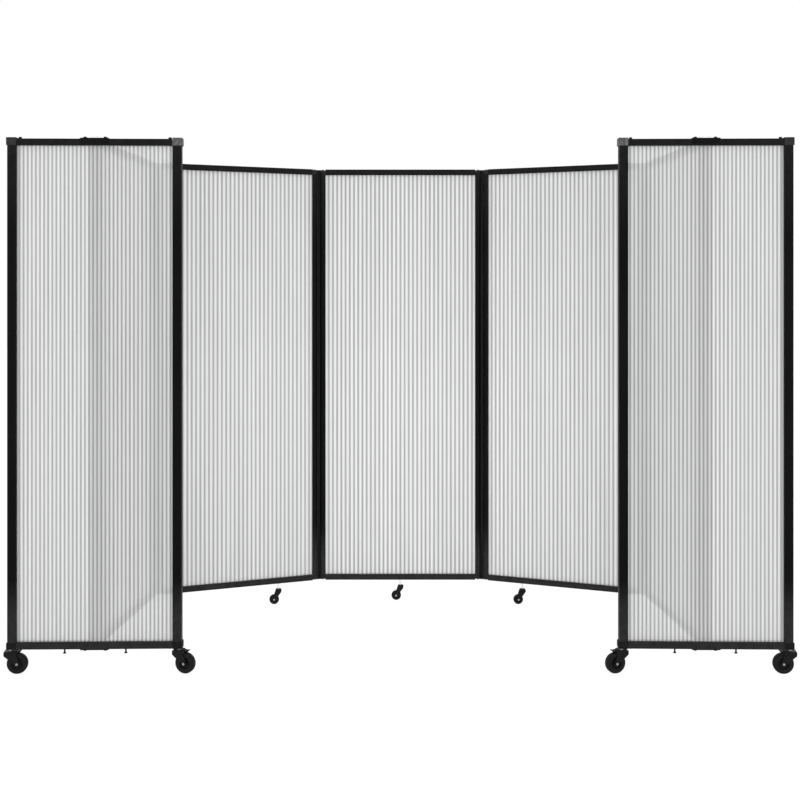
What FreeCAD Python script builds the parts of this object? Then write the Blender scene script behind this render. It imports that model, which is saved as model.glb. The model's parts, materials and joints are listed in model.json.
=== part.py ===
# Folding partition on castors: five hinged panels in a row, with an end panel across each tip.
# Lengths are millimetres and angles are degrees. X runs along the centre panel, Y points away
# from the side that the row opens to, and Z is up. The origin is on the floor, in the middle
# of the whole object's box.
import FreeCAD, Part

import math
import os

V = FreeCAD.Vector

# Heights
frame_bottom = 106.5
frame_height = 2173.0
hinge_play = 2.5

# Layout at rest, as turns of each panel away from the line of the centre panel
back_turn = 22.2
side_turn = 85.55
end_turn = 1.3
end_offset = 52.0

# Hinged panels
panel_width = 852.0
panel_depth = 32.0
stile_width = 30.0
rail_height = 29.0
groove_depth = 6.0
groove_width = 8.6
profile_wall = 2.2
profile_rounding = 1.6
pivot_tube_wall = 2.4
cap_lap = 4.0
cap_plug_length = 30.0
cap_plug_play = 0.15

# End panels
end_width = 737.5
end_depth = 38.0
end_stile_width = 38.0
end_top_rail_height = 28.5
end_bottom_rail_height = 29.5
end_groove_depth = 8.0
end_wall = 2.5
end_rounding = 2.0
end_mullion_width = 62.0
end_mullion_depth = 10.0
end_mullion_wall = 2.0
end_mullion_play = 2.0
corner_overhang = 5.0
corner_proud = 1.0
corner_rounding = 4.0
corner_spigot_length = 42.0
corner_spigot_play = 0.15
corner_nub_radius = 4.0
corner_nub_height = 2.0
corner_nub_inset = 8.0

# Fluted sheets
sheet_thickness = 8.0
sheet_skin = 0.9
sheet_rib = 0.9
flute_pitch = 22.0
end_flute_pitch = 17.2
sheet_edge_play = 0.4

# Double pivot hinges between the panels
hinge_seam = 13.0
pivot_radius = 4.0
pivot_play = 0.08
hinge_plate_thickness = 4.0
hinge_plate_half_width = 9.0
hinge_plate_gap = 0.5
hinge_spine_half_depth = 12.0
hinge_spine_play = 0.6
hinge_pin_length = 45.0
hinge_pin_head_radius = 6.5
hinge_pin_head_height = 2.6
hinge_pin_head_rounding = 1.2

# Brackets that carry the end panels
bracket_half_width = 60.0
bracket_thickness = 3.5
bracket_lip_thickness = 1.6
bracket_lip_height = 22.0
bracket_nose_radius = 14.0
bracket_bolt_spacing = 86.0
hub_half_width = 27.5
hub_thickness = 8.5
hub_side_play = 0.3
hub_screw_x = 11.0
hub_screw_y = -9.0
hub_screw_head_radius = 4.5
hub_screw_head_height = 1.5
hub_screw_rounding = 0.6
end_pin_head_radius = 7.5
end_pin_head_height = 2.4

# Fasteners of the end panels
boss_base_radius = 10.0
boss_top_radius = 6.0
boss_height = 6.5
bolt_shank_radius = 3.0
bolt_shank_length = 14.0
bolt_play = 0.1
rail_screw_from_stile = 12.5
rail_screw_head_radius = 7.0
rail_screw_head_height = 8.0
rail_screw_low_head_height = 4.0
rail_screw_radius = 2.5

# Rest pegs under the end panels
peg_spacing = 260.0
peg_radius = 3.5
peg_length = 21.0
peg_foot_radius = 7.5
peg_foot_height = 6.0
peg_thread_length = 12.0

# Castors of the end panels
end_wheel_radius = 44.0
end_wheel_width = 26.0
end_trail = 28.0
end_castor_inset = 10.6
outside_castor_turn = -6.0
inside_castor_turn = 16.0
end_stem_radius = 6.0
end_stem_length = 24.0
end_nut_height = 6.5
end_nut_flats = 19.0
end_head_radius = 26.0
end_head_height = 4.0
end_crown_thickness = 3.2
end_crown_back = 27.0
end_crown_front = 18.0
end_leg_thickness = 3.0
end_leg_gap = 2.0
end_axle_radius = 5.0
end_axle_boss_radius = 13.0
end_rivet_radius = 9.0
end_rivet_height = 2.5

# Brake pedals on the end castors
brake_pivot_x = 25.0
brake_pivot_drop = 3.7
brake_pivot_radius = 2.2
brake_barrel_wall = 1.2
brake_ear_radius = 5.5
brake_pedal_length = 20.0
brake_pedal_thickness = 3.0
brake_throw = 12.0
brake_side_play = 0.8
brake_shoe_start = 6.0
brake_shoe_end = 15.0
brake_shoe_gap = 0.5

# Castors of the hinged panels
inner_wheel_radius = 25.0
inner_wheel_width = 18.0
inner_trail = 21.5
inner_stem_radius = 5.0
inner_stem_length = 12.0
inner_nut_height = 5.0
inner_nut_flats = 15.0
inner_exposed_stem = 29.0
inner_head_radius = 13.0
inner_head_height = 3.5
inner_crown_thickness = 3.0
inner_crown_back = 16.0
inner_crown_front = 13.0
inner_leg_thickness = 2.5
inner_leg_gap = 1.5
inner_axle_radius = 3.5
inner_axle_boss_radius = 8.5
inner_rivet_radius = 6.5
inner_rivet_height = 2.0
inner_castor_from_hinge = 198.0
centre_castor_turn = 176.0
side_castor_turn = 184.0

# Shares of the wheels and nuts
tyre_share = 0.30
tread_rounding_share = 0.24
web_share = 0.42
wheel_boss_share = 0.30
axle_head_share = 1.7
axle_head_height_share = 0.8
parallel_share = 0.99
axle_play = 0.06
swivel_play = 0.4
overrun = 1.0

# Sizes worked out from those above
nose_radius = panel_depth / 2
pivot_span = panel_width - panel_depth
hinge_span = panel_depth + hinge_seam
stile_inner = stile_width - nose_radius
cap_height = rail_height - groove_depth + cap_lap
low = frame_bottom
high = frame_bottom + frame_height
inner_low = low + hinge_play
inner_high = high - hinge_play
pivot_hole_radius = pivot_radius + pivot_play
pivot_tube_radius = pivot_hole_radius + pivot_tube_wall
end_half_width = end_width / 2
end_half_depth = end_depth / 2
rail_screw_spacing = end_width - 2 * (end_stile_width + rail_screw_from_stile)
bolt_hole_radius = bolt_shank_radius + bolt_play
hinge_recess = hinge_plate_gap + hinge_plate_thickness + hinge_pin_head_height
low_plate_face = inner_low + hinge_pin_head_height
high_plate_face = inner_high - hinge_pin_head_height


def box(x0, x1, y0, y1, z0, z1):
    return Part.makeBox(x1 - x0, y1 - y0, z1 - z0, V(x0, y0, z0))


def rod(radius, z0, z1, x=0, y=0):
    return Part.makeCylinder(radius, z1 - z0, V(x, y, z0))


def cross_rod(radius, y0, y1, x, z):
    return Part.makeCylinder(radius, y1 - y0, V(x, y0, z), V(0, 1, 0))


def polygon(points):
    return Part.makePolygon(points + points[:1])


def wire_of(edges):
    return Part.Wire(Part.__sortEdges__(edges))


def line(a, b):
    return Part.LineSegment(a, b).toShape()


def arc(a, b, c):
    return Part.Arc(a, b, c).toShape()


def hexagon(flats, z0, z1, x=0, y=0):
    corner = flats / 2 / math.cos(math.radians(30))
    points = []
    for step in range(6):
        angle = math.radians(60 * step)
        points.append(V(x + corner * math.cos(angle), y + corner * math.sin(angle), z0))
    return Part.Face(polygon(points)).extrude(V(0, 0, z1 - z0))


def placed(solids, spot):
    x, y, turn = spot
    place = FreeCAD.Placement(V(x, y, 0), FreeCAD.Rotation(V(0, 0, 1), turn))
    moved = []
    for solid in solids:
        copy = solid.copy()
        copy.Placement = place.multiply(copy.Placement)
        moved.append(copy)
    return moved


def turned_about(solid, x, y, turn):
    copy = solid.copy()
    copy.rotate(V(x, y, 0), V(0, 0, 1), turn)
    return copy


# Layout of the row
def heading(side, turn):
    angle = math.radians(turn)
    return V(side * math.cos(angle), -math.sin(angle), 0)


def heading_angle(side, turn):
    direction = heading(side, turn)
    return math.degrees(math.atan2(direction.y, direction.x))


def chain_spots(side):
    # Pivot axes and turns of one half of the row, from the centre panel outwards
    inner_link_turn = back_turn / 2
    outer_link_turn = (back_turn + side_turn) / 2
    a = V(side * pivot_span / 2, 0, 0)
    b = a + heading(side, inner_link_turn) * hinge_span
    c = b + heading(side, back_turn) * pivot_span
    d = c + heading(side, outer_link_turn) * hinge_span
    e = d + heading(side, side_turn) * pivot_span
    end_angle = -side * end_turn
    end = e + FreeCAD.Rotation(V(0, 0, 1), end_angle).multVec(V(0, -end_offset, 0))
    return {
        "inner_link": (a.x, a.y, heading_angle(side, inner_link_turn)),
        "back": (b.x, b.y, heading_angle(side, back_turn)),
        "outer_link": (c.x, c.y, heading_angle(side, outer_link_turn)),
        "side": (d.x, d.y, heading_angle(side, side_turn)),
        "end_pivot": (e.x, e.y, 0),
        "end": (end.x, end.y, end_angle),
    }


def rounded_bar(x0, x1, y0, y1, z0, z1, rounding, along):
    # Straight profile whose four long edges are rounded; along is the axis that it runs in
    bar = box(x0, x1, y0, y1, z0, z1)
    long_edges = []
    for edge in bar.Edges:
        a, b = (vertex.Point for vertex in edge.Vertexes)
        if abs((b - a).normalize().dot(along)) > parallel_share:
            long_edges.append(edge)
    return bar.makeFillet(rounding, long_edges)


# Hinged panels, drawn from one pivot axis at zero to the other at pivot_span along X
def stile_outline(z):
    # Half-round nose about the pivot, straight sides and two rounded inner corners
    r = profile_rounding
    bulge = r * (1 - math.sqrt(0.5))
    edges = [arc(V(0, nose_radius, z), V(-nose_radius, 0, z), V(0, -nose_radius, z))]
    for side in (-1, 1):
        middle = V(stile_inner - bulge, side * (nose_radius - bulge), z)
        edges.append(line(V(0, side * nose_radius, z), V(stile_inner - r, side * nose_radius, z)))
        edges.append(arc(V(stile_inner - r, side * nose_radius, z), middle,
                         V(stile_inner, side * (nose_radius - r), z)))
    return edges


def stile_bar(z0, z1):
    flat = nose_radius - profile_rounding
    closing = line(V(stile_inner, flat, z0), V(stile_inner, -flat, z0))
    return Part.Face(wire_of(stile_outline(z0) + [closing])).extrude(V(0, 0, z1 - z0))


def stile_chamber(z0, z1, play):
    # Hollow round the pivot tube, kept apart from the groove of the sheet by its wall
    wall = profile_wall + play
    reach = nose_radius - wall
    nose_room = rod(reach, z0, z1).common(box(-reach, 0, -reach, reach, z0, z1))
    room = nose_room.fuse(box(0, stile_inner - wall, -reach, reach, z0, z1))
    tube = rod(pivot_tube_radius + play, z0 - overrun, z1 + overrun)
    half = groove_width / 2 + wall
    groove_side = box(stile_inner - groove_depth - wall, stile_inner + overrun, -half, half,
                      z0 - overrun, z1 + overrun)
    return room.cut([tube, groove_side]).removeSplitter()


def stile(z0, z1):
    groove = box(stile_inner - groove_depth, stile_inner + overrun, -groove_width / 2,
                 groove_width / 2, z0 - overrun, z1 + overrun)
    hole = rod(pivot_hole_radius, z0 - overrun, z1 + overrun)
    chamber = stile_chamber(z0 - overrun, z1 + overrun, 0)
    return stile_bar(z0, z1).cut([groove, hole, chamber])


def stile_cap(z0, z1, slot_z0, slot_z1, plug_z0, plug_z1, spigot_z0, spigot_z1):
    # Moulded corner: a block that ends the stile, slotted for the corner of the sheet, with a
    # plug in the stile and one in the rail
    plug = stile_chamber(plug_z0, plug_z1, cap_plug_play)
    side = nose_radius - profile_wall - cap_plug_play
    spigot = box(stile_inner - overrun, stile_inner + cap_plug_length, -side, side,
                 spigot_z0, spigot_z1)
    slot = box(stile_inner - groove_depth, stile_inner + overrun, -groove_width / 2,
               groove_width / 2, slot_z0, slot_z1)
    hole = rod(pivot_hole_radius, z0 - overrun, z1 + overrun)
    return stile_bar(z0, z1).cut(slot).fuse([plug, spigot]).cut(hole)


def both_ends(piece):
    return [piece, turned_about(piece, pivot_span / 2, 0, 180)]


def panel_rail(z0, z1, groove_z0, groove_z1, room_z0, room_z1):
    bar = rounded_bar(stile_inner, pivot_span - stile_inner, -nose_radius, nose_radius, z0, z1,
                      profile_rounding, V(1, 0, 0))
    x0 = stile_inner - overrun
    x1 = pivot_span - x0
    side = nose_radius - profile_wall
    groove = box(x0, x1, -groove_width / 2, groove_width / 2, groove_z0, groove_z1)
    chamber = box(x0, x1, -side, side, room_z0, room_z1)
    return bar.cut([groove, chamber])


def panel_frame(castor_x=None):
    stiles = both_ends(stile(inner_low + cap_height, inner_high - cap_height))
    bottom_inner = inner_low + rail_height
    top_inner = inner_high - rail_height
    bottom = panel_rail(inner_low, bottom_inner, bottom_inner - groove_depth, bottom_inner + overrun,
                        inner_low + profile_wall, bottom_inner - groove_depth - profile_wall)
    top = panel_rail(top_inner, inner_high, top_inner - overrun, top_inner + groove_depth,
                     top_inner + groove_depth + profile_wall, inner_high - profile_wall)
    if castor_x is not None:
        hole = rod(inner_stem_radius + axle_play, inner_low - overrun,
                   inner_low + profile_wall + overrun, castor_x)
        bottom = bottom.cut(hole)
    return stiles + [bottom, top]


def panel_caps(near_recess, far_recess):
    # Where a hinge joins on, the caps stand back from the rails to leave room for its plates
    gap = profile_wall + cap_plug_play
    lower_seat = inner_low + cap_height
    upper_seat = inner_high - cap_height
    low_groove = inner_low + rail_height - groove_depth
    high_groove = inner_high - rail_height + groove_depth
    caps = []
    for recess, turn in ((near_recess, 0), (far_recess, 180)):
        lower = stile_cap(inner_low + recess, lower_seat, low_groove, lower_seat + overrun,
                          lower_seat - overrun, lower_seat + cap_plug_length,
                          inner_low + gap, low_groove - gap)
        upper = stile_cap(upper_seat, inner_high - recess, upper_seat - overrun, high_groove,
                          upper_seat - cap_plug_length, upper_seat + overrun,
                          high_groove + gap, inner_high - gap)
        caps += [turned_about(cap, pivot_span / 2, 0, turn) for cap in (lower, upper)]
    return caps


def fluted_sheet(x0, x1, z0, z1, pitch):
    # Two skins with upright ribs between them; the flutes run the full height
    half = sheet_thickness / 2
    corners = [V(x0, -half, z0), V(x1, -half, z0), V(x1, half, z0), V(x0, half, z0)]
    wires = [polygon(corners)]
    count = max(1, int((x1 - x0 - sheet_rib) / pitch))
    step = (x1 - x0 - sheet_rib) / count
    for index in range(count):
        start = x0 + sheet_rib + index * step
        stop = start + step - sheet_rib
        inside = half - sheet_skin
        wires.append(polygon([
            V(start, -inside, z0), V(stop, -inside, z0),
            V(stop, inside, z0), V(start, inside, z0),
        ]))
    return [Part.Face(wires).extrude(V(0, 0, z1 - z0))]


def panel_sheet():
    reach = groove_depth - sheet_edge_play
    x0 = stile_inner - reach
    return fluted_sheet(x0, pivot_span - x0, inner_low + rail_height - reach,
                        inner_high - rail_height + reach, flute_pitch)


# Hinge between two panels, drawn from one pivot axis at zero to the next at hinge_span
def hinge_spine():
    start = nose_radius + hinge_spine_play
    bar = box(start, hinge_span - start, -hinge_spine_half_depth, hinge_spine_half_depth,
              low_plate_face + hinge_plate_thickness, high_plate_face - hinge_plate_thickness)
    return [bar]


def hinge_plate(z0, z1):
    half = hinge_plate_half_width
    edges = [
        line(V(0, -half, z0), V(hinge_span, -half, z0)),
        arc(V(hinge_span, -half, z0), V(hinge_span + half, 0, z0), V(hinge_span, half, z0)),
        line(V(hinge_span, half, z0), V(0, half, z0)),
        arc(V(0, half, z0), V(-half, 0, z0), V(0, -half, z0)),
    ]
    plate = Part.Face(wire_of(edges)).extrude(V(0, 0, z1 - z0))
    for x in (0, hinge_span):
        plate = plate.cut(rod(pivot_hole_radius, z0 - overrun, z1 + overrun, x))
    return plate


def headed_pin(shank_radius, far_z, seat_z, head_radius, head_height, rounding, x=0, y=0):
    # The head sits at seat_z, on the far side from the tip at far_z
    outward = 1 if seat_z > far_z else -1
    shank = rod(shank_radius, min(far_z, seat_z), max(far_z, seat_z), x, y)
    top = seat_z + outward * head_height
    head = rod(head_radius, min(seat_z, top), max(seat_z, top), x, y)
    rim = [edge for edge in head.Edges
           if edge.BoundBox.ZLength < head_height / 2
           and abs(edge.CenterOfMass.z - top) < head_height / 2]
    head = head.makeFillet(rounding, rim)
    return shank.fuse(head).removeSplitter()


def hinge_plates():
    # The plates lie in the caps' recesses, and their pin heads end level with the rails
    solids = [
        hinge_plate(high_plate_face - hinge_plate_thickness, high_plate_face),
        hinge_plate(low_plate_face, low_plate_face + hinge_plate_thickness),
    ]
    for x in (0, hinge_span):
        for far, seat in ((inner_high - hinge_pin_length, high_plate_face),
                          (inner_low + hinge_pin_length, low_plate_face)):
            solids.append(headed_pin(pivot_radius, far, seat, hinge_pin_head_radius,
                                     hinge_pin_head_height, hinge_pin_head_rounding, x))
    return solids


# End panels, drawn about their own middle, with their pivot at end_offset along Y
def end_bar_hollow(x0, x1, z0, z1, y_wall=end_wall):
    return box(x0, x1, -end_half_depth + y_wall, end_half_depth - y_wall, z0, z1)


def end_stile():
    outer = -end_half_width
    inner = outer + end_stile_width
    z0 = low + end_bottom_rail_height
    z1 = high - end_top_rail_height
    bar = rounded_bar(outer, inner, -end_half_depth, end_half_depth, z0, z1,
                      end_rounding, V(0, 0, 1))
    groove = box(inner - end_groove_depth, inner + overrun, -groove_width / 2, groove_width / 2,
                 z0 - overrun, z1 + overrun)
    hollow = end_bar_hollow(outer + end_wall, inner - end_groove_depth - end_wall,
                            z0 - overrun, z1 + overrun)
    return bar.cut(groove).cut(hollow)


def end_rail(z0, z1, groove_z0, groove_z1, hollow_z0, hollow_z1):
    reach = end_half_width - end_stile_width
    bar = rounded_bar(-reach, reach, -end_half_depth, end_half_depth, z0, z1,
                      end_rounding, V(1, 0, 0))
    groove = box(-reach - overrun, reach + overrun, -groove_width / 2, groove_width / 2,
                 groove_z0, groove_z1)
    hollow = end_bar_hollow(-reach - overrun, reach + overrun, hollow_z0, hollow_z1)
    return bar.cut(groove).cut(hollow)


def end_mullion():
    # Upright box section behind the sheet, on the line of the pivots
    half = end_mullion_width / 2
    y0 = sheet_thickness / 2 + end_mullion_play
    y1 = y0 + end_mullion_depth
    z0 = low + end_bottom_rail_height
    z1 = high - end_top_rail_height
    wall = end_mullion_wall
    hollow = box(-half + wall, half - wall, y0 + wall, y1 - wall, z0 - overrun, z1 + overrun)
    return box(-half, half, y0, y1, z0, z1).cut(hollow)


def mirrored_pair(piece):
    return [piece, turned_about(piece, 0, 0, 180)]


def end_frame():
    stiles = mirrored_pair(end_stile())
    bottom_inner = low + end_bottom_rail_height
    top_inner = high - end_top_rail_height
    bottom = end_rail(low, bottom_inner, bottom_inner - end_groove_depth, bottom_inner + overrun,
                      low + end_wall, bottom_inner - end_groove_depth - end_wall)
    top = end_rail(top_inner, high, top_inner - overrun, top_inner + end_groove_depth,
                   top_inner + end_groove_depth + end_wall, high - end_wall)
    for x in bolt_places():
        bottom = bottom.cut(rod(bolt_hole_radius, low - overrun, low + end_wall + overrun, x))
        top = top.cut(rod(bolt_hole_radius, high - end_wall - overrun, high + overrun, x))
    for x in rail_screw_places():
        hole_radius = rail_screw_radius + bolt_play
        bottom = bottom.cut(rod(hole_radius, low - overrun, low + end_wall + overrun, x))
        top = top.cut(rod(hole_radius, high - end_wall - overrun, high + overrun, x))
    for x in peg_places():
        bottom = bottom.cut(rod(peg_radius + bolt_play, low - overrun, low + end_wall + overrun, x))
    top = top.cut(rod(rail_screw_radius + bolt_play, high - end_wall - overrun, high + overrun,
                      hub_screw_x, hub_screw_y))
    return stiles + [bottom, top, end_mullion()]


def end_sheet():
    reach = end_groove_depth - sheet_edge_play
    half = end_half_width - end_stile_width + reach
    return fluted_sheet(-half, half, low + end_bottom_rail_height - reach,
                        high - end_top_rail_height + reach, end_flute_pitch)


def corner_block(z0, z1, slot_z0, slot_z1, spigot_z0, spigot_z1, rail_z0, rail_z1):
    # Moulded corner that plugs into the end of a stile and the end of a rail
    outer = -end_half_width
    inner = outer + end_stile_width
    depth = end_half_depth + corner_proud
    block = box(outer - corner_overhang, inner, -depth, depth, z0, z1)
    block = block.makeFillet(corner_rounding, [edge for edge in block.Edges
                                               if edge.BoundBox.XMin < outer
                                               and edge.BoundBox.XLength < corner_overhang])
    play = corner_spigot_play
    side = end_half_depth - end_wall - play
    upright = box(outer + end_wall + play, inner - end_groove_depth - end_wall - play,
                  -side, side, spigot_z0, spigot_z1)
    level = box(inner - overrun, inner + corner_spigot_length, -side, side, rail_z0, rail_z1)
    slot = box(inner - end_groove_depth, inner + overrun, -groove_width / 2, groove_width / 2,
               slot_z0, slot_z1)
    block = block.cut(slot).fuse([upright, level])
    screw = rod(rail_screw_radius + bolt_play, z0 - overrun, z1 + overrun, rail_screw_places()[0])
    return block.cut(screw)


def end_corners():
    play = corner_spigot_play
    bottom_inner = low + end_bottom_rail_height
    top_inner = high - end_top_rail_height
    top = corner_block(top_inner, high + corner_overhang,
                       top_inner - overrun, top_inner + end_groove_depth,
                       top_inner - corner_spigot_length, top_inner + overrun,
                       top_inner + end_groove_depth + end_wall + play, high - end_wall - play)
    nub = rod(corner_nub_radius, high + corner_overhang - overrun,
              high + corner_overhang + corner_nub_height, -end_half_width + corner_nub_inset)
    top = top.fuse(nub)
    bottom = corner_block(low, bottom_inner,
                          bottom_inner - end_groove_depth, bottom_inner + overrun,
                          bottom_inner - overrun, bottom_inner + corner_spigot_length,
                          low + end_wall + play,
                          bottom_inner - end_groove_depth - end_wall - play)
    stem_hole = rod(end_stem_radius + axle_play, low - overrun,
                    low + end_stem_length + overrun, -castor_reach())
    bottom = bottom.cut(stem_hole)
    return mirrored_pair(top) + mirrored_pair(bottom)


def castor_reach():
    return end_half_width - end_castor_inset


def bolt_places():
    return (-bracket_bolt_spacing / 2, bracket_bolt_spacing / 2)


def rail_screw_places():
    return (-rail_screw_spacing / 2, rail_screw_spacing / 2)


def peg_places():
    return (-peg_spacing / 2, peg_spacing / 2)


def pivot_plate(half_width, z0, z1):
    # Flat plate on the rail that narrows to a round nose over the pivot
    nose = bracket_nose_radius
    front = -end_half_depth
    back = end_half_depth
    edges = [
        line(V(-half_width, front, z0), V(half_width, front, z0)),
        line(V(half_width, front, z0), V(half_width, back, z0)),
        line(V(half_width, back, z0), V(nose, end_offset, z0)),
        arc(V(nose, end_offset, z0), V(0, end_offset + nose, z0), V(-nose, end_offset, z0)),
        line(V(-nose, end_offset, z0), V(-half_width, back, z0)),
        line(V(-half_width, back, z0), V(-half_width, front, z0)),
    ]
    plate = Part.Face(wire_of(edges)).extrude(V(0, 0, z1 - z0))
    return plate.cut(rod(pivot_hole_radius, z0 - overrun, z1 + overrun, 0, end_offset))


def bracket_lip(z0, z1):
    return box(-bracket_half_width, bracket_half_width, -end_half_depth - bracket_lip_thickness,
               -end_half_depth, z0, z1)


def end_brackets():
    # Above, two feet joined by a lip in front of the rail; below, one flat plate
    top_seat = high + bracket_thickness
    low_seat = low - bracket_thickness
    top = bracket_lip(high - bracket_lip_height, top_seat)
    inner = hub_half_width + hub_side_play
    for x0, x1 in ((-bracket_half_width, -inner), (inner, bracket_half_width)):
        top = top.fuse(box(x0, x1, -end_half_depth, end_half_depth, high, top_seat))
    bottom = pivot_plate(bracket_half_width, low_seat, low)
    for x in bolt_places():
        top = top.cut(rod(bolt_hole_radius, high - overrun, top_seat + overrun, x))
        bottom = bottom.cut(rod(bolt_hole_radius, low_seat - overrun, low + overrun, x))
    return [top, bottom]


def end_pivots():
    top_seat = high + hub_thickness
    low_seat = low - bracket_thickness
    hub = pivot_plate(hub_half_width, high, top_seat)
    hub = hub.cut(rod(rail_screw_radius + bolt_play, high - overrun, top_seat + overrun,
                      hub_screw_x, hub_screw_y))
    solids = [hub]
    for far, seat in ((inner_high - hinge_pin_length, top_seat),
                      (inner_low + hinge_pin_length, low_seat)):
        solids.append(headed_pin(pivot_radius, far, seat, end_pin_head_radius,
                                 end_pin_head_height, hinge_pin_head_rounding, 0, end_offset))
    return solids


def end_fasteners():
    solids = []
    for x in bolt_places():
        for seat, outward in ((high + bracket_thickness, 1), (low - bracket_thickness, -1)):
            boss = Part.makeCone(boss_base_radius, boss_top_radius, boss_height,
                                 V(x, 0, seat), V(0, 0, outward))
            shank = Part.makeCylinder(bolt_shank_radius, bolt_shank_length + boss_height / 2,
                                      V(x, 0, seat + outward * boss_height / 2),
                                      V(0, 0, -outward))
            solids.append(boss.fuse(shank))
    for x in rail_screw_places():
        for seat, outward, head_height in ((high, 1, rail_screw_head_height),
                                           (low, -1, rail_screw_low_head_height)):
            tip = seat - outward * bolt_shank_length
            solids.append(headed_pin(rail_screw_radius, tip, seat, rail_screw_head_radius,
                                     head_height, hinge_pin_head_rounding, x))
    solids.append(headed_pin(rail_screw_radius, high - bolt_shank_length, high + hub_thickness,
                             hub_screw_head_radius, hub_screw_head_height, hub_screw_rounding,
                             hub_screw_x, hub_screw_y))
    return solids


def end_pegs():
    solids = []
    for x in peg_places():
        tip = low - peg_length
        post = rod(peg_radius, tip + peg_foot_height / 2, low + peg_thread_length, x)
        foot = Part.makeCone(peg_foot_radius, peg_radius, peg_foot_height, V(x, 0, tip))
        solids.append(post.fuse(foot))
    return solids


# Castors, drawn with the swivel axis at zero and the wheel trailing along X
def wheel(radius, width, trail, axle_radius):
    tyre_inner = radius * (1 - tyre_share)
    rounding = width * tread_rounding_share
    half = width / 2
    web_half = half * web_share
    boss_radius = radius * wheel_boss_share
    bore = axle_radius + axle_play
    diagonal = rounding * (1 - math.sqrt(0.5))
    tread = wire_of([
        line(V(tyre_inner, -half, 0), V(radius - rounding, -half, 0)),
        arc(V(radius - rounding, -half, 0), V(radius - diagonal, -half + diagonal, 0),
            V(radius, -half + rounding, 0)),
        line(V(radius, -half + rounding, 0), V(radius, half - rounding, 0)),
        arc(V(radius, half - rounding, 0), V(radius - diagonal, half - diagonal, 0),
            V(radius - rounding, half, 0)),
        line(V(radius - rounding, half, 0), V(tyre_inner, half, 0)),
        line(V(tyre_inner, half, 0), V(tyre_inner, -half, 0)),
    ])
    rim = tyre_inner * (1 - web_share / 2)
    core = polygon([
        V(bore, -half, 0), V(boss_radius, -half, 0), V(boss_radius, -web_half, 0),
        V(rim, -web_half, 0), V(rim, -half, 0), V(tyre_inner, -half, 0),
        V(tyre_inner, half, 0), V(rim, half, 0), V(rim, web_half, 0),
        V(boss_radius, web_half, 0), V(boss_radius, half, 0), V(bore, half, 0),
    ])
    solids = []
    for outline in (tread, core):
        ring = Part.Face(outline).revolve(V(0, 0, 0), V(0, 1, 0), 360)
        ring.translate(V(trail, 0, radius))
        solids.append(ring)
    return solids


def fork_leg(y0, y1, back, front, crown_low, crown_high, trail, axle_z, boss):
    edges = [
        line(V(-back, y0, crown_high), V(front, y0, crown_high)),
        line(V(front, y0, crown_high), V(trail + boss, y0, axle_z)),
        arc(V(trail + boss, y0, axle_z), V(trail, y0, axle_z - boss), V(trail - boss, y0, axle_z)),
        line(V(trail - boss, y0, axle_z), V(-back, y0, crown_low)),
        line(V(-back, y0, crown_low), V(-back, y0, crown_high)),
    ]
    return Part.Face(wire_of(edges)).extrude(V(0, y1 - y0, 0))


def fork(sizes):
    # Crown and head with two side legs, and the axle through them as its own solid
    leg_inner = sizes["width"] / 2 + sizes["leg_gap"]
    leg_outer = leg_inner + sizes["leg"]
    crown_low = sizes["crown_top"] - sizes["crown"]
    body = box(-sizes["back"], sizes["front"], -leg_outer, leg_outer, crown_low, sizes["crown_top"])
    head = rod(sizes["head_radius"], sizes["crown_top"], sizes["head_top"])
    body = body.fuse(head)
    skirt_low = crown_low - sizes["boss"]
    for y0, y1 in ((-leg_outer, -leg_inner), (leg_inner, leg_outer)):
        leg = fork_leg(y0, y1, sizes["back"], sizes["front"], skirt_low, sizes["crown_top"],
                       sizes["trail"], sizes["radius"], sizes["boss"])
        if sizes["ear"]:
            ear_x, ear_z, ear_radius = sizes["ear"]
            leg = leg.fuse(cross_rod(ear_radius, y0, y1, ear_x, ear_z))
        body = body.fuse(leg)
    if sizes["ear"]:
        ear_x, ear_z, ear_radius = sizes["ear"]
        body = body.cut(cross_rod(brake_pivot_radius + axle_play, -leg_outer - overrun,
                                  leg_outer + overrun, ear_x, ear_z))
    body = body.cut(rod(sizes["stem"] + swivel_play, crown_low - overrun,
                        sizes["head_top"] + overrun))
    axle = sizes["axle"]
    body = body.cut(cross_rod(axle + axle_play, -leg_outer - overrun, leg_outer + overrun,
                              sizes["trail"], sizes["radius"]))
    head_height = axle * axle_head_height_share
    pin = cross_rod(axle, -leg_outer, leg_outer, sizes["trail"], sizes["radius"])
    for y0, y1 in ((-leg_outer - head_height, -leg_outer), (leg_outer, leg_outer + head_height)):
        pin = pin.fuse(cross_rod(axle * axle_head_share, y0, y1, sizes["trail"], sizes["radius"]))
    return [body, pin.removeSplitter()]


end_head_top = frame_bottom - end_nut_height - swivel_play
end_crown_top = end_head_top - end_head_height
brake_pivot_z = end_crown_top - brake_pivot_drop
inner_head_top = inner_low - inner_exposed_stem
inner_crown_top = inner_head_top - inner_head_height


def end_fork():
    return fork({
        "width": end_wheel_width, "leg_gap": end_leg_gap, "leg": end_leg_thickness,
        "crown": end_crown_thickness, "crown_top": end_crown_top, "head_top": end_head_top,
        "head_radius": end_head_radius, "back": end_crown_back, "front": end_crown_front,
        "trail": end_trail, "radius": end_wheel_radius, "boss": end_axle_boss_radius,
        "stem": end_stem_radius, "axle": end_axle_radius,
        "ear": (brake_pivot_x, brake_pivot_z, brake_ear_radius),
    })


def inner_fork():
    return fork({
        "width": inner_wheel_width, "leg_gap": inner_leg_gap, "leg": inner_leg_thickness,
        "crown": inner_crown_thickness, "crown_top": inner_crown_top, "head_top": inner_head_top,
        "head_radius": inner_head_radius, "back": inner_crown_back, "front": inner_crown_front,
        "trail": inner_trail, "radius": inner_wheel_radius, "boss": inner_axle_boss_radius,
        "stem": inner_stem_radius, "axle": inner_axle_radius, "ear": None,
    })


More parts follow.
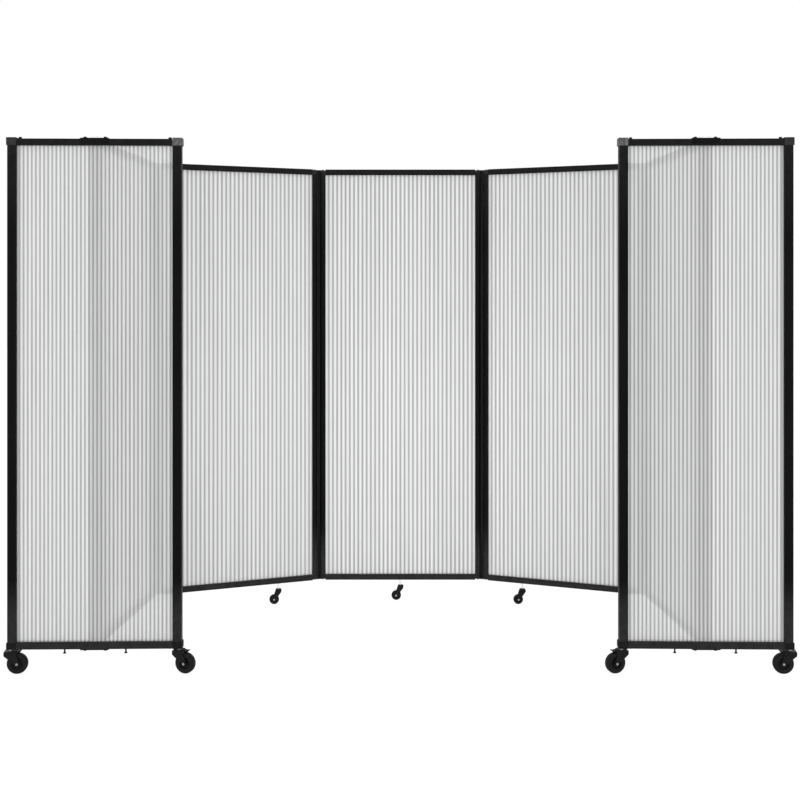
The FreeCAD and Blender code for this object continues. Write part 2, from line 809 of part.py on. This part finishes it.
def brake():
    # Pedal over the wheel, with its pin through the fork's ears and a shoe above the tread.
    # It is drawn pressed down and then lifted by its throw.
    half = end_wheel_width / 2 + end_leg_gap - brake_side_play
    pin_half = end_wheel_width / 2 + end_leg_gap + end_leg_thickness + brake_side_play
    x = brake_pivot_x
    z = brake_pivot_z
    tip = x + brake_pedal_length
    pedal = box(x, tip, -half, half, z, z + brake_pedal_thickness)
    shoe = box(x + brake_shoe_start, x + brake_shoe_end, -half / 2, half / 2,
               2 * end_wheel_radius + brake_shoe_gap, z + brake_pedal_thickness)
    barrel = cross_rod(brake_pivot_radius + brake_barrel_wall, -half, half, x, z)
    pin = cross_rod(brake_pivot_radius, -pin_half, pin_half, x, z)
    lever = pedal.fuse([shoe, barrel, pin])
    lever.rotate(V(x, 0, z), V(0, 1, 0), -brake_throw)
    return [lever]


def end_stems():
    # Threaded stem, its hex nut against the corner, and the riveted tip under the crown
    crown_low = end_crown_top - end_crown_thickness
    solids = []
    for side in (-1, 1):
        x = side * castor_reach()
        stem = rod(end_stem_radius, crown_low - end_rivet_height, low + end_stem_length, x)
        rivet_low = crown_low - end_rivet_height - swivel_play
        rivet = rod(end_rivet_radius, rivet_low, rivet_low + end_rivet_height, x)
        nut = hexagon(end_nut_flats, low - end_nut_height, low, x)
        solids.append(stem.fuse([rivet, nut]))
    return solids


def inner_stem():
    crown_low = inner_crown_top - inner_crown_thickness
    stem = rod(inner_stem_radius, crown_low - inner_rivet_height, inner_low + inner_stem_length)
    rivet_low = crown_low - inner_rivet_height - swivel_play
    rivet = rod(inner_rivet_radius, rivet_low, rivet_low + inner_rivet_height)
    nut = hexagon(inner_nut_flats, inner_low - inner_nut_height, inner_low)
    inside = inner_low + profile_wall
    lock_nut = hexagon(inner_nut_flats, inside, inside + inner_nut_height)
    return [stem.fuse([rivet, nut, lock_nut])]


def local_to_world(spot, x, y):
    angle = math.radians(spot[2])
    return (spot[0] + x * math.cos(angle) - y * math.sin(angle),
            spot[1] + x * math.sin(angle) + y * math.cos(angle))


def castor_spots():
    # Swivel axis and heading of the trailing wheel of each castor
    spots = {"centre_castor": (0.0, 0.0, centre_castor_turn)}
    for name, side in (("left", -1), ("right", 1)):
        chain = chain_spots(side)
        x, y = local_to_world(chain["back"], inner_castor_from_hinge, 0)
        spots[name + "_castor"] = (x, y, side_castor_turn)
        end = chain["end"]
        places = (("outside", side * castor_reach(), outside_castor_turn),
                  ("inside", -side * castor_reach(), inside_castor_turn))
        for place, reach, turn in places:
            x, y = local_to_world(end, reach, 0)
            trail_turn = -turn if side < 0 else 180 + turn
            spots[name + "_" + place + "_castor"] = (x, y, trail_turn)
    return spots


def build():
    nodes = {}
    centre = (-pivot_span / 2, 0, 0)
    nodes["centre_frame"] = placed(panel_frame(pivot_span / 2), centre)
    nodes["centre_sheet"] = placed(panel_sheet(), centre)
    nodes["centre_caps"] = placed(panel_caps(hinge_recess, hinge_recess), centre)
    spots = castor_spots()
    for name, side in (("left", -1), ("right", 1)):
        chain = chain_spots(side)
        for panel, castor_x, far_recess in (("back", inner_castor_from_hinge, hinge_recess),
                                            ("side", None, 0)):
            spot = chain[panel]
            nodes[name + "_" + panel + "_frame"] = placed(panel_frame(castor_x), spot)
            nodes[name + "_" + panel + "_sheet"] = placed(panel_sheet(), spot)
            nodes[name + "_" + panel + "_caps"] = placed(panel_caps(hinge_recess, far_recess), spot)
        for link in ("inner", "outer"):
            spot = chain[link + "_link"]
            nodes[name + "_" + link + "_hinge_spine"] = placed(hinge_spine(), spot)
            nodes[name + "_" + link + "_hinge_plates"] = placed(hinge_plates(), spot)
        end = chain["end"]
        nodes[name + "_end_frame"] = placed(end_frame(), end)
        nodes[name + "_end_sheet"] = placed(end_sheet(), end)
        nodes[name + "_end_corners"] = placed(end_corners(), end)
        nodes[name + "_end_brackets"] = placed(end_brackets(), end)
        nodes[name + "_end_pivots"] = placed(end_pivots(), end)
        nodes[name + "_end_fasteners"] = placed(end_fasteners(), end)
        nodes[name + "_end_pegs"] = placed(end_pegs(), end)
        nodes[name + "_end_castor_stems"] = placed(end_stems(), end)
        for place in ("outside", "inside"):
            castor = name + "_" + place + "_castor"
            nodes[castor + "_fork"] = placed(end_fork(), spots[castor])
            nodes[castor + "_wheel"] = placed(
                wheel(end_wheel_radius, end_wheel_width, end_trail, end_axle_radius), spots[castor])
            nodes[castor + "_brake"] = placed(brake(), spots[castor])
    for castor in ("centre_castor", "left_castor", "right_castor"):
        nodes[castor + "_stem"] = placed(inner_stem(), spots[castor])
        nodes[castor + "_fork"] = placed(inner_fork(), spots[castor])
        nodes[castor + "_wheel"] = placed(
            wheel(inner_wheel_radius, inner_wheel_width, inner_trail, inner_axle_radius),
            spots[castor])
    return nodes


def middle_shift(nodes):
    # From the layout's own zero to the middle of the object's box
    lows = []
    highs = []
    for name, solids in nodes.items():
        if name.endswith("_sheet"):
            continue
        for solid in solids:
            exact = solid.optimalBoundingBox(False, False)
            lows.append(exact.YMin)
            highs.append(exact.YMax)
    return V(0, -(min(lows) + max(highs)) / 2, 0)


def main():
    os.makedirs("parts", exist_ok=True)
    nodes = build()
    shift = middle_shift(nodes)
    for name, solids in nodes.items():
        for solid in solids:
            solid.translate(shift)
        shape = solids[0] if len(solids) == 1 else Part.makeCompound(solids)
        shape.exportStep("parts/" + name + ".step")
    print("nodes", len(nodes), "shift", round(shift.y, 4))


main()
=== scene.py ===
# Folding partition on castors: fluted opal sheets in black frames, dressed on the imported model.
# Lengths are metres. X runs along the centre panel, Y points away from the viewer, Z is up.
import json
import math

import bpy
from mathutils import Matrix, Vector


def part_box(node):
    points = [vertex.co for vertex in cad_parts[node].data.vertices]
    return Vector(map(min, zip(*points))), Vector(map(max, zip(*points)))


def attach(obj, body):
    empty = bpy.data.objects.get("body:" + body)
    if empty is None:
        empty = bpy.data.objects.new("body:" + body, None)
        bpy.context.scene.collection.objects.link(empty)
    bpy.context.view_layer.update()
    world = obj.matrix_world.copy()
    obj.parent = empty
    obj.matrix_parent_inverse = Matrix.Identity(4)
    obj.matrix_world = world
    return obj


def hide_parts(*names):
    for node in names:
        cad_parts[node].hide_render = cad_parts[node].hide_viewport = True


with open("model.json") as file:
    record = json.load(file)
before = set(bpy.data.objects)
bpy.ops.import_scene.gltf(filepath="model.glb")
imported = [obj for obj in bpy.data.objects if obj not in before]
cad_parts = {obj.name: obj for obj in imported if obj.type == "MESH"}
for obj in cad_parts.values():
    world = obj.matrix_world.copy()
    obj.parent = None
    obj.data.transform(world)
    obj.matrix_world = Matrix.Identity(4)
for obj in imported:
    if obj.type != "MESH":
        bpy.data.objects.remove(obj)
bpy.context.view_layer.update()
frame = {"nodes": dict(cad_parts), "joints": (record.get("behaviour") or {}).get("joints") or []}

scene = bpy.context.scene
nodes = frame["nodes"]
joints = {joint["name"]: joint for joint in frame["joints"]}
sides = ("left", "right")
castors = [name.removesuffix("_swivel") for name in joints if name.endswith("_castor_swivel")]

# Camera: a level view along +Y, with its frame lowered to the object
camera_lens = 53.64
camera_sensor = 36.0
camera_pitch = math.radians(90.0)
camera_distance = 6.298
camera_height = 1.6139
camera_shift = -0.13125
camera_side_shift = -0.0004

# Light
world_light = 0.97
lamp_height = 4.2
front_lamp_height = 1.5
lamp_size = 3.2
lamp_distance = 5.5
lamp_reach = 4.0
lamp_target_height = 1.1
lamp_power = 42.0
top_lamp_power = 12.0

# A soft box in the mouth of the row, which lights the panels inside it
fill_power = 7.5
fill_height = 0.95
fill_width = 1.9
fill_tall = 1.9

# Floor
floor_size = 60.0
floor_colour = (0.80, 0.80, 0.80, 1.0)
floor_glow = 1.12
floor_glow_share = 0.80

# Fluted sheets. The stations are places across one flute, closest together at its ribs, where
# the skin sinks a little over a share of the flute's width.
flute_pitch = 0.022
end_flute_pitch = 0.0172
flute_rib = 0.0009
flute_stations = (0.0, 0.04, 0.09, 0.16, 0.28, 0.5, 0.72, 0.84, 0.91, 0.96)
rib_sink = 0.00030
sink_share = 0.085
crease_angle = math.radians(40.0)

# Opal plastic: clear windows between darker lines at the ribs
window_colour = (0.930, 0.933, 0.936, 1.0)
line_colour = (0.360, 0.362, 0.365, 1.0)
window_alpha = 0.57
line_alpha = 0.71
line_waver = 0.18
cloud_tone = 0.965
opal_roughness = (0.30, 0.42)
opal_specular = 0.25

# Sheets whose first rib and step agree to this many decimal places share one material
rib_decimals = 4
step_decimals = 5

# Painted reflection: the frames are paler from the first of two heights to the second, towards the
# floor and the top, standing in for the floor and the light above mirrored in the coat
floor_reflection_heights = (0.40, 0.24)
top_reflection_heights = (1.88, 2.25)
floor_reflection_greys = (0.018, 0.026)
top_reflection_greys = (0.0085, 0.0125)

# The end panels' corners: black below, grey above, and duller with their distance from the middle
corner_heights = (0.4, 1.8)
corner_reach = (1.05, 1.55)
corner_black_greys = (0.004, 0.009)
corner_pale_greys = (0.075, 0.145)
corner_dull_greys = (0.022, 0.035)
corner_roughness = (0.66, 0.48)
corner_specular = 0.1

# Castor axles: how far from the wheel's middle their bright heads start
axle_head_start = 0.0181
inner_axle_head_start = 0.0131
axle_spot_radius = 0.005
axle_grey = 0.30

# Powder coats, moulded plastics and plated metals: two greys that a noise mixes, and their shine
frame_finish = {"greys": (0.0024, 0.0040), "roughness": (0.40, 0.55), "specular": 0.05}
bracket_finish = {"greys": (0.0032, 0.0055), "roughness": (0.45, 0.60), "specular": 0.07}
fastener_finish = {"greys": (0.004, 0.008), "roughness": (0.40, 0.50), "specular": 0.10}
fork_finish = {"greys": (0.004, 0.008), "roughness": (0.35, 0.50), "specular": 0.12}
cap_finish = {"greys": (0.008, 0.030), "specular": 0.08}
spine_finish = {"greys": (0.0045, 0.0065), "specular": 0.06}
peg_finish = {"greys": (0.006, 0.010), "specular": 0.12}
castor_finish = {"greys": (0.005, 0.010), "specular": 0.12}
dark_plate_finish = {"greys": (0.05, 0.09), "roughness": (0.35, 0.50)}
zinc_plate_finish = {"greys": (0.72, 0.86), "roughness": (0.25, 0.42)}
plastic_roughness = (0.62, 0.46)
grey_blue_lift = 1.02

# Noises: scale, layers of detail and, where it isn't the same each way, the stretch of the pattern
coat_cloud = (2.2, 5.0)
coat_grain = (900.0, 2.0)
# Patches in the painted reflection on the frames
frame_reflection_patches = (38.0, 4.0)
plastic_mottle = (120.0, 4.0)
plastic_grain = (1600.0, 2.0)
plate_stain = (60.0, 6.0)
plate_scratch = (40.0, 4.0, (1.0, 1.0, 14.0))
opal_waver = (1.0, 3.0, (90.0, 1.0, 1.3))
opal_cloud = (1.0, 2.0, (26.0, 1.0, 0.35))
corner_mottle = (95.0, 5.0)
corner_streak = (1.0, 2.0, (210.0, 210.0, 12.0))
corner_grain = (1500.0, 2.0)

# Ranges to spread: the middle of one noise or of two added ones, a whole wave, and none to all
soft_noise = (0.3, 0.7)
patchy_noise = (0.35, 0.65)
mottled_noise = (0.38, 0.62)
added_noise = (0.85, 1.15)
whole_wave = (-1.0, 1.0)
none_to_all = (0.0, 1.0)

# Relief of a surface: its strength and its depth
coat_relief = (0.12, 0.0004)
plastic_relief = (0.2, 0.0003)
plate_relief = (0.08, 0.0002)


# Small helpers for node materials
def start_material(name):
    material = bpy.data.materials.new(name)
    material.use_nodes = True
    tree = material.node_tree
    return material, tree, tree.nodes["Principled BSDF"]


def object_place(tree):
    return tree.nodes.new("ShaderNodeTexCoord").outputs["Object"]


def place_parts(tree, place):
    split = tree.nodes.new("ShaderNodeSeparateXYZ")
    tree.links.new(place, split.inputs["Vector"])
    return split.outputs


def math_node(tree, operation, first, second=None):
    node = tree.nodes.new("ShaderNodeMath")
    node.operation = operation
    for index, value in enumerate((first, second)):
        if value is None:
            continue
        if isinstance(value, (int, float)):
            node.inputs[index].default_value = value
        else:
            tree.links.new(value, node.inputs[index])
    return node.outputs[0]


def vector_node(tree, operation, linked, fixed=None):
    node = tree.nodes.new("ShaderNodeVectorMath")
    node.operation = operation
    tree.links.new(linked, node.inputs[0])
    if fixed is not None:
        node.inputs[1].default_value = fixed
    return node


def noise(tree, place, scale, detail, stretch=None):
    if stretch is not None:
        mapping = tree.nodes.new("ShaderNodeMapping")
        mapping.inputs["Scale"].default_value = stretch
        tree.links.new(place, mapping.inputs["Vector"])
        place = mapping.outputs["Vector"]
    node = tree.nodes.new("ShaderNodeTexNoise")
    node.inputs["Scale"].default_value = scale
    node.inputs["Detail"].default_value = detail
    tree.links.new(place, node.inputs["Vector"])
    return node.outputs["Fac"]


def ranged(tree, value, source, target=none_to_all, smooth=False):
    node = tree.nodes.new("ShaderNodeMapRange")
    if smooth:
        node.interpolation_type = "SMOOTHSTEP"
    for name, number in zip(("From Min", "From Max", "To Min", "To Max"), source + target):
        node.inputs[name].default_value = number
    tree.links.new(value, node.inputs["Value"])
    return node.outputs["Result"]


def mixed_colour(tree, factor, first, second):
    node = tree.nodes.new("ShaderNodeMix")
    node.data_type = "RGBA"
    tree.links.new(factor, node.inputs["Factor"])
    # A mix node has an A, a B and a Result for each type of data
    colours = [socket for socket in node.inputs if socket.type == "RGBA"]
    results = [socket for socket in node.outputs if socket.type == "RGBA"]
    for socket, colour in zip(colours, (first, second)):
        if isinstance(colour, tuple):
            socket.default_value = colour
        else:
            tree.links.new(colour, socket)
    return results[0]


def grey(value):
    return (value, value, value * grey_blue_lift, 1.0)


def mixed_greys(tree, factor, greys):
    dark, light = greys
    return mixed_colour(tree, factor, grey(dark), grey(light))


def add_relief(tree, shader, height, strength, depth):
    node = tree.nodes.new("ShaderNodeBump")
    node.inputs["Strength"].default_value = strength
    node.inputs["Distance"].default_value = depth
    tree.links.new(height, node.inputs["Height"])
    tree.links.new(node.outputs["Normal"], shader.inputs["Normal"])


# Materials
def powder_coat(name, greys, roughness, specular):
    material, tree, shader = start_material(name)
    place = object_place(tree)
    cloud = ranged(tree, noise(tree, place, *coat_cloud), patchy_noise)
    grain = noise(tree, place, *coat_grain)
    tree.links.new(mixed_greys(tree, cloud, greys), shader.inputs["Base Color"])
    tree.links.new(ranged(tree, grain, soft_noise, roughness), shader.inputs["Roughness"])
    shader.inputs["Specular IOR Level"].default_value = specular
    add_relief(tree, shader, grain, *coat_relief)
    return material


def frame_coat_painted_sheen(name):
    # Deepest black at mid height, with a painted reflection that makes it paler towards both ends
    # of the posts and on the rails
    material = powder_coat(name, **frame_finish)
    tree = material.node_tree
    shader = tree.nodes["Principled BSDF"]
    place = object_place(tree)
    height = place_parts(tree, place)["Z"]
    # Patchy painted reflection: of the light above near the top and of the floor near the bottom
    sheen_patches = ranged(tree, noise(tree, place, *frame_reflection_patches), patchy_noise)
    coat = shader.inputs["Base Color"].links[0].from_socket
    upper = mixed_colour(tree, ranged(tree, height, top_reflection_heights), coat,
                         mixed_greys(tree, sheen_patches, top_reflection_greys))
    lower = mixed_colour(tree, ranged(tree, height, floor_reflection_heights), upper,
                         mixed_greys(tree, sheen_patches, floor_reflection_greys))
    tree.links.new(lower, shader.inputs["Base Color"])
    return material


def moulded_plastic(name, greys, specular):
    material, tree, shader = start_material(name)
    place = object_place(tree)
    mottle = noise(tree, place, *plastic_mottle)
    grain = noise(tree, place, *plastic_grain)
    colour = mixed_greys(tree, ranged(tree, mottle, mottled_noise), greys)
    tree.links.new(colour, shader.inputs["Base Color"])
    tree.links.new(ranged(tree, mottle, soft_noise, plastic_roughness), shader.inputs["Roughness"])
    shader.inputs["Specular IOR Level"].default_value = specular
    add_relief(tree, shader, grain, *plastic_relief)
    return material


def plated_metal(name, greys, roughness):
    material, tree, shader = start_material(name)
    place = object_place(tree)
    stain = ranged(tree, noise(tree, place, *plate_stain), patchy_noise)
    scratch = noise(tree, place, *plate_scratch)
    tree.links.new(mixed_greys(tree, stain, greys), shader.inputs["Base Color"])
    tree.links.new(ranged(tree, scratch, soft_noise, roughness), shader.inputs["Roughness"])
    shader.inputs["Metallic"].default_value = 1.0
    add_relief(tree, shader, scratch, *plate_relief)
    return material


def opal_sheet(name, first_rib, step):
    # Darker towards each rib and clearer in the window between two of them
    material, tree, shader = start_material(name)
    place = object_place(tree)
    from_rib = math_node(tree, "SUBTRACT", place_parts(tree, place)["X"], first_rib)
    flute = math_node(tree, "DIVIDE", from_rib, step)
    wave = math_node(tree, "COSINE", math_node(tree, "MULTIPLY", flute, math.tau))
    waver = noise(tree, place, *opal_waver)
    uneven = ranged(tree, waver, soft_noise, (-line_waver, line_waver))
    line = ranged(tree, math_node(tree, "ADD", wave, uneven), whole_wave)
    tone = ranged(tree, noise(tree, place, *opal_cloud), soft_noise, (cloud_tone, 1.0))
    scaled = vector_node(tree, "SCALE", mixed_colour(tree, line, window_colour, line_colour))
    tree.links.new(tone, scaled.inputs["Scale"])
    tree.links.new(scaled.outputs["Vector"], shader.inputs["Base Color"])
    alpha = ranged(tree, line, none_to_all, (window_alpha, line_alpha))
    tree.links.new(alpha, shader.inputs["Alpha"])
    tree.links.new(ranged(tree, waver, soft_noise, opal_roughness), shader.inputs["Roughness"])
    shader.inputs["Specular IOR Level"].default_value = opal_specular
    return material


def corner_plastic(name):
    # Black below; bare grey above, palest on the corners that face the middle of the row
    material, tree, shader = start_material(name)
    place = object_place(tree)
    parts = place_parts(tree, place)
    mottle = noise(tree, place, *corner_mottle)
    streak = noise(tree, place, *corner_streak)
    grain = noise(tree, place, *corner_grain)
    across = math_node(tree, "ABSOLUTE", parts["X"])
    outward = ranged(tree, across, corner_reach, smooth=True)
    above = ranged(tree, parts["Z"], corner_heights, smooth=True)
    blotch = ranged(tree, math_node(tree, "ADD", mottle, streak), added_noise)
    top = mixed_colour(tree, outward, mixed_greys(tree, blotch, corner_pale_greys),
                       mixed_greys(tree, blotch, corner_dull_greys))
    bottom = mixed_greys(tree, blotch, corner_black_greys)
    tree.links.new(mixed_colour(tree, above, bottom, top), shader.inputs["Base Color"])
    tree.links.new(ranged(tree, mottle, soft_noise, corner_roughness), shader.inputs["Roughness"])
    shader.inputs["Specular IOR Level"].default_value = corner_specular
    add_relief(tree, shader, grain, *plastic_relief)
    return material


def fork_coat(name, castor, head_start):
    # Black fork with bright heads on its axle, which stand out past the two legs
    material = powder_coat(name, **fork_finish)
    tree = material.node_tree
    shader = tree.nodes["Principled BSDF"]
    roll = joints[castor + "_roll"]
    offset = vector_node(tree, "SUBTRACT", object_place(tree), Vector(roll["pos_m"]))
    offset = offset.outputs["Vector"]
    along = vector_node(tree, "DOT_PRODUCT", offset, Vector(roll["axis"])).outputs["Value"]
    reach = vector_node(tree, "LENGTH", offset).outputs["Value"]
    outside = math_node(tree, "GREATER_THAN", math_node(tree, "ABSOLUTE", along), head_start)
    from_axle = math_node(tree, "SUBTRACT", math_node(tree, "MULTIPLY", reach, reach),
                          math_node(tree, "MULTIPLY", along, along))
    inside = math_node(tree, "LESS_THAN", from_axle, axle_spot_radius ** 2)
    bright = math_node(tree, "MULTIPLY", outside, inside)
    coat = shader.inputs["Base Color"].links[0].from_socket
    colour = mixed_colour(tree, bright, coat, grey(axle_grey))
    tree.links.new(colour, shader.inputs["Base Color"])
    tree.links.new(bright, shader.inputs["Metallic"])
    return material


def seen_directly(tree):
    # 1 for what the eye sees straight, in a reflection or through something, and otherwise 0
    path = tree.nodes.new("ShaderNodeLightPath")
    seen = path.outputs["Is Camera Ray"]
    for name in ("Is Glossy Ray", "Is Transmission Ray"):
        seen = math_node(tree, "MAXIMUM", seen, path.outputs[name])
    return seen


def floor_material():
    # White to the eye and to reflections, with the object's shadow left on it
    material, tree, shader = start_material("studio_floor")
    shader.inputs["Base Color"].default_value = floor_colour
    shader.inputs["Roughness"].default_value = 1.0
    shader.inputs["Specular IOR Level"].default_value = 0.0
    glow = tree.nodes.new("ShaderNodeEmission")
    glow.inputs["Strength"].default_value = floor_glow
    mix = tree.nodes.new("ShaderNodeMixShader")
    share = math_node(tree, "MULTIPLY", seen_directly(tree), floor_glow_share)
    tree.links.new(share, mix.inputs["Fac"])
    tree.links.new(shader.outputs["BSDF"], mix.inputs[1])
    tree.links.new(glow.outputs["Emission"], mix.inputs[2])
    tree.links.new(mix.outputs["Shader"], tree.nodes["Material Output"].inputs["Surface"])
    return material


# Camera, light and floor
def add_object(name, data):
    thing = bpy.data.objects.new(name, data)
    scene.collection.objects.link(thing)
    return thing


def add_camera():
    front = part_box("centre_frame")[0].y
    data = bpy.data.cameras.new("camera")
    data.lens = camera_lens
    data.sensor_width = camera_sensor
    data.shift_x = camera_side_shift
    data.shift_y = camera_shift
    data.clip_end = floor_size
    camera = add_object("camera", data)
    camera.location = (0.0, front - camera_distance, camera_height)
    camera.rotation_euler = (camera_pitch, 0.0, 0.0)
    scene.camera = camera


def add_world():
    world = bpy.data.worlds.new("studio")
    world.use_nodes = True
    scene.world = world
    tree = world.node_tree
    background = tree.nodes["Background"]
    background.inputs["Color"].default_value = (1.0, 1.0, 1.0, 1.0)
    strength = ranged(tree, seen_directly(tree), none_to_all, (world_light, 1.0))
    tree.links.new(strength, background.inputs["Strength"])


def add_lamp(name, place, target, size, power):
    data = bpy.data.lights.new(name, "AREA")
    data.size = size
    data.energy = power
    lamp = add_object(name, data)
    lamp.location = place
    lamp.rotation_euler = (target - place).to_track_quat("-Z", "Y").to_euler()
    return lamp


def add_fill_lamp():
    # It hangs between the end panels and is unseen itself
    mouth = Vector((0.0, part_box("left_end_frame")[1].y, fill_height))
    back = Vector((0.0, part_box("centre_frame")[0].y, fill_height))
    lamp = add_lamp("fill_lamp", mouth, back, fill_width, fill_power)
    lamp.data.shape = "RECTANGLE"
    lamp.data.size_y = fill_tall
    lamp.visible_camera = False


def add_lights():
    target = Vector((0.0, 0.0, lamp_target_height))
    for side in (-1, 1):
        for depth, height in ((-1, front_lamp_height), (1, lamp_height)):
            place = Vector((side * lamp_reach, depth * lamp_distance, height))
            add_lamp("soft_lamp", place, target, lamp_size, lamp_power)
    above = Vector((0.0, 0.0, lamp_height))
    add_lamp("top_lamp", above, target, lamp_size, top_lamp_power)
    add_fill_lamp()


def add_floor():
    mesh = bpy.data.meshes.new("studio_floor")
    half = floor_size / 2
    corners = [(-half, -half, 0), (half, -half, 0), (half, half, 0), (-half, half, 0)]
    mesh.from_pydata(corners, [], [(0, 1, 2, 3)])
    mesh.materials.append(floor_material())
    floor = add_object("studio_floor", mesh)


# Fluted sheets, each drawn along its own panel
def panel_place(start, towards):
    along = towards - start
    along.z = 0.0
    along.normalize()
    up = Vector((0.0, 0.0, 1.0))
    place = Matrix((along, up.cross(along), up)).transposed().to_4x4()
    place.translation = (start.x, start.y, 0.0)
    return place


def joint_spot(name):
    return Vector(joints[name]["pos_m"])


def local_box(node, place):
    inverse = place.inverted()
    points = [inverse @ vertex.co for vertex in nodes[node].data.vertices]
    lows = Vector(min(point[axis] for point in points) for axis in range(3))
    highs = Vector(max(point[axis] for point in points) for axis in range(3))
    return lows, highs


def flute_outline(lows, highs, step, count):
    # Points across the sheet with half its depth there, sunk a little at each rib
    depth = (highs.y - lows.y) / 2
    outline = []
    for index in range(count):
        for share in flute_stations:
            from_rib = min(share, 1 - share)
            sink = rib_sink * math.exp(-((from_rib / sink_share) ** 2))
            outline.append((lows.x + flute_rib / 2 + (index + share) * step, depth - sink))
    outline[0] = (lows.x, depth)
    outline.append((highs.x, depth))
    return outline


def sheet_points(outline, lows, highs):
    # Four points at each place of the outline: front and back, each below and above
    middle = (lows.y + highs.y) / 2
    points = []
    for x, depth in outline:
        for y in (middle - depth, middle + depth):
            for z in (lows.z, highs.z):
                points.append((x, y, z))
    return points


def sheet_faces(strips):
    # The front, back, lower and upper face of each strip, then the sheet's two ends
    ring = 4
    faces = []
    for index in range(strips):
        here = ring * index
        there = here + ring
        faces += [(here, there, there + 1, here + 1),
                  (here + 2, here + 3, there + 3, there + 2),
                  (here, here + 2, there + 2, there),
                  (here + 1, there + 1, there + 3, here + 3)]
    end = ring * strips
    faces += [(0, 1, 3, 2), (end, end + 2, end + 3, end + 1)]
    return faces


def fluted_sheet(name, node, body, place, pitch, material_of):
    lows, highs = local_box(node, place)
    width = highs.x - lows.x
    count = max(1, int((width - flute_rib) / pitch))
    step = (width - flute_rib) / count
    outline = flute_outline(lows, highs, step, count)
    mesh = bpy.data.meshes.new(name)
    mesh.from_pydata(sheet_points(outline, lows, highs), [], sheet_faces(len(outline) - 1))
    mesh.validate()
    for polygon in mesh.polygons:
        polygon.use_smooth = True
    mesh.set_sharp_from_angle(angle=crease_angle)
    mesh.materials.append(material_of(lows.x + flute_rib / 2, step))
    sheet = add_object(name, mesh)
    sheet.matrix_world = place
    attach(sheet, body)
    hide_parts(node)


def add_sheets():
    made = {}

    def material_of(first_rib, step):
        key = (round(first_rib, rib_decimals), round(step, step_decimals))
        if key not in made:
            made[key] = opal_sheet("fluted_opal_%d" % len(made), first_rib, step)
        return made[key]

    # Each panel runs from its first joint towards its second
    rows = [("centre", flute_pitch, "left_centre_pivot", "right_centre_pivot")]
    for side in sides:
        rows.append((side + "_back", flute_pitch, side + "_back_pivot", side + "_outer_pivot"))
        rows.append((side + "_side", flute_pitch, side + "_side_pivot", side + "_end_turn"))
        rows.append((side + "_end", end_flute_pitch,
                     side + "_outside_castor_swivel", side + "_inside_castor_swivel"))
    for panel, pitch, start, towards in rows:
        place = panel_place(joint_spot(start), joint_spot(towards))
        fluted_sheet(panel + "_fluted_sheet", panel + "_sheet", panel + "_panel", place, pitch,
                     material_of)


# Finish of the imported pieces
def dress(material, *tails):
    for name in nodes:
        if not name.endswith(tails):
            continue
        mesh = nodes[name].data
        if not mesh.materials:
            mesh.materials.append(material)
        for index in range(len(mesh.materials)):
            mesh.materials[index] = material


def dress_nodes():
    dress(frame_coat_painted_sheen("black_coat"), "_frame")
    dress(powder_coat("bracket_coat", **bracket_finish), "_brackets")
    dress(powder_coat("fastener_coat", **fastener_finish), "_fasteners")
    dress(moulded_plastic("cap_plastic", **cap_finish), "_caps")
    dress(corner_plastic("corner_plastic"), "_corners")
    dress(moulded_plastic("spine_plastic", **spine_finish), "_spine")
    dress(moulded_plastic("peg_plastic", **peg_finish), "_pegs")
    dress(moulded_plastic("brake_plastic", **castor_finish), "_brake")
    dress(moulded_plastic("wheel_plastic", **castor_finish), "_wheel")
    dress(plated_metal("dark_plate", **dark_plate_finish), "_hinge_plates")
    dress(plated_metal("zinc_plate", **zinc_plate_finish), "_pivots", "_stem", "_stems")
    for castor in castors:
        # Only the large castors have a brake
        large = castor + "_brake" in joints
        head_start = axle_head_start if large else inner_axle_head_start
        dress(fork_coat(castor + "_coat", castor, head_start), castor + "_fork")


scene.view_settings.view_transform = "Standard"
add_camera()
add_world()
add_lights()
add_floor()
add_sheets()
dress_nodes()
